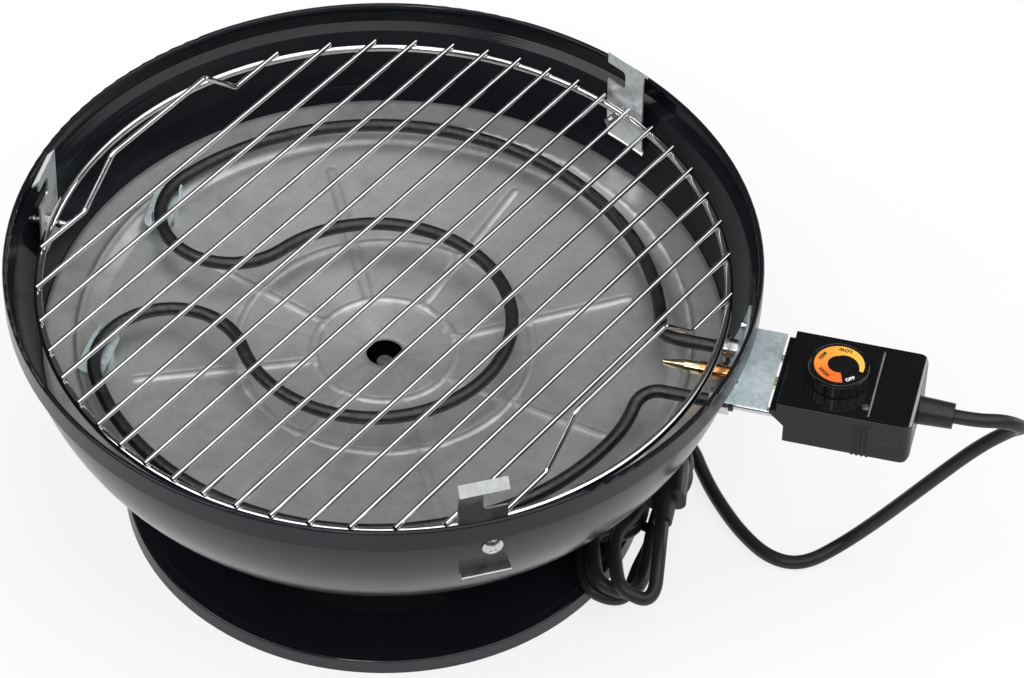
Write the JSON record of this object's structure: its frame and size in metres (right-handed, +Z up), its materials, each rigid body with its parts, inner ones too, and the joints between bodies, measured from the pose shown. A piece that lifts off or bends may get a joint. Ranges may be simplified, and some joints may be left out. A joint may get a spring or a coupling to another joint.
{
  "type": "electric grill",
  "caption": "Round tabletop electric grill: dark bowl on a low base, lift-out wire grid over a looped heating element, and a plug-in thermostat with dial, probe and bundled cord.",
  "frame": {"origin": "centre of the base on the table, on the axis of the bowl", "axes": "+Z up along the bowl's axis, +X from the axis to the thermostat"},
  "size_m": [0.6063, 0.4444, 0.2083],
  "materials": {
    "bowl_paint": "satin charcoal-black enamel",
    "base_gloss": "gloss black enamel",
    "pan": "bright spun sheet",
    "element_sheath": "oxidised dark sheath",
    "galvanised": "zinc-coated sheet",
    "grid_chrome": "bright plated wire",
    "fastener": "plated",
    "housing_plastic": "fine matte black",
    "knob_plastic": "gloss black",
    "dial_print": "printed yellow to orange",
    "switch_plastic": "moulded brown",
    "brass": "polished",
    "copper": "copper-coloured",
    "lens_clear": "clear red",
    "cord_rubber": "satin black",
    "tie_plastic": "black"
  },
  "bodies": {
    "grill": {"base_plate": "base_gloss", "pedestal": "base_gloss", "tie_bolt": "fastener", "tie_nut": "fastener", "bowl": "bowl_paint", "reflector": "pan", "heating_element": "element_sheath", "terminal_pins": "fastener", "terminal_bushings": "fastener", "terminal_plate": "galvanised", "terminal_guard": "galvanised", "guard_rivets": "fastener", "element_rest_rear": "galvanised", "element_rest_front": "galvanised", "grid_bracket_1": "galvanised", "grid_bracket_2": "galvanised", "grid_bracket_3": "galvanised", "bracket_screws": "fastener", "bracket_nuts": "fastener"},
    "cooking_grid": {"grid_ring": "grid_chrome", "grid_bars": "grid_chrome", "grid_handle_front": "grid_chrome", "grid_handle_rear": "grid_chrome"},
    "thermostat": {"housing_top": "housing_plastic", "housing_bottom": "housing_plastic", "housing_screws": "fastener", "socket_contacts": "brass", "thermostat_switch": "switch_plastic", "pilot_lens": "lens_clear", "probe": "brass", "probe_collar": "copper", "strain_relief": "cord_rubber", "power_cord": "cord_rubber", "cord_hank": "cord_rubber", "cord_tie": "tie_plastic", "plug_body": "cord_rubber", "plug_blades": "brass"},
    "control_knob": {"knob": "knob_plastic", "knob_dial": "dial_print", "knob_shaft": "fastener"}
  },
  "joints": [
    {"name": "cooking_grid_lift", "type": "slide", "parent": "grill", "child": "cooking_grid", "axis": [0, 0, 1], "range_m": [0, 0.12]},
    {"name": "thermostat_pull", "type": "slide", "parent": "grill", "child": "thermostat", "axis": [1, 0, 0], "range_m": [0, 0.09]},
    {"name": "knob_turn", "type": "hinge", "parent": "thermostat", "child": "control_knob", "pos_m": [0.2723, 0, 0.165], "axis": [0, 0, 1], "range_deg": [-270, 0]}
  ]
}
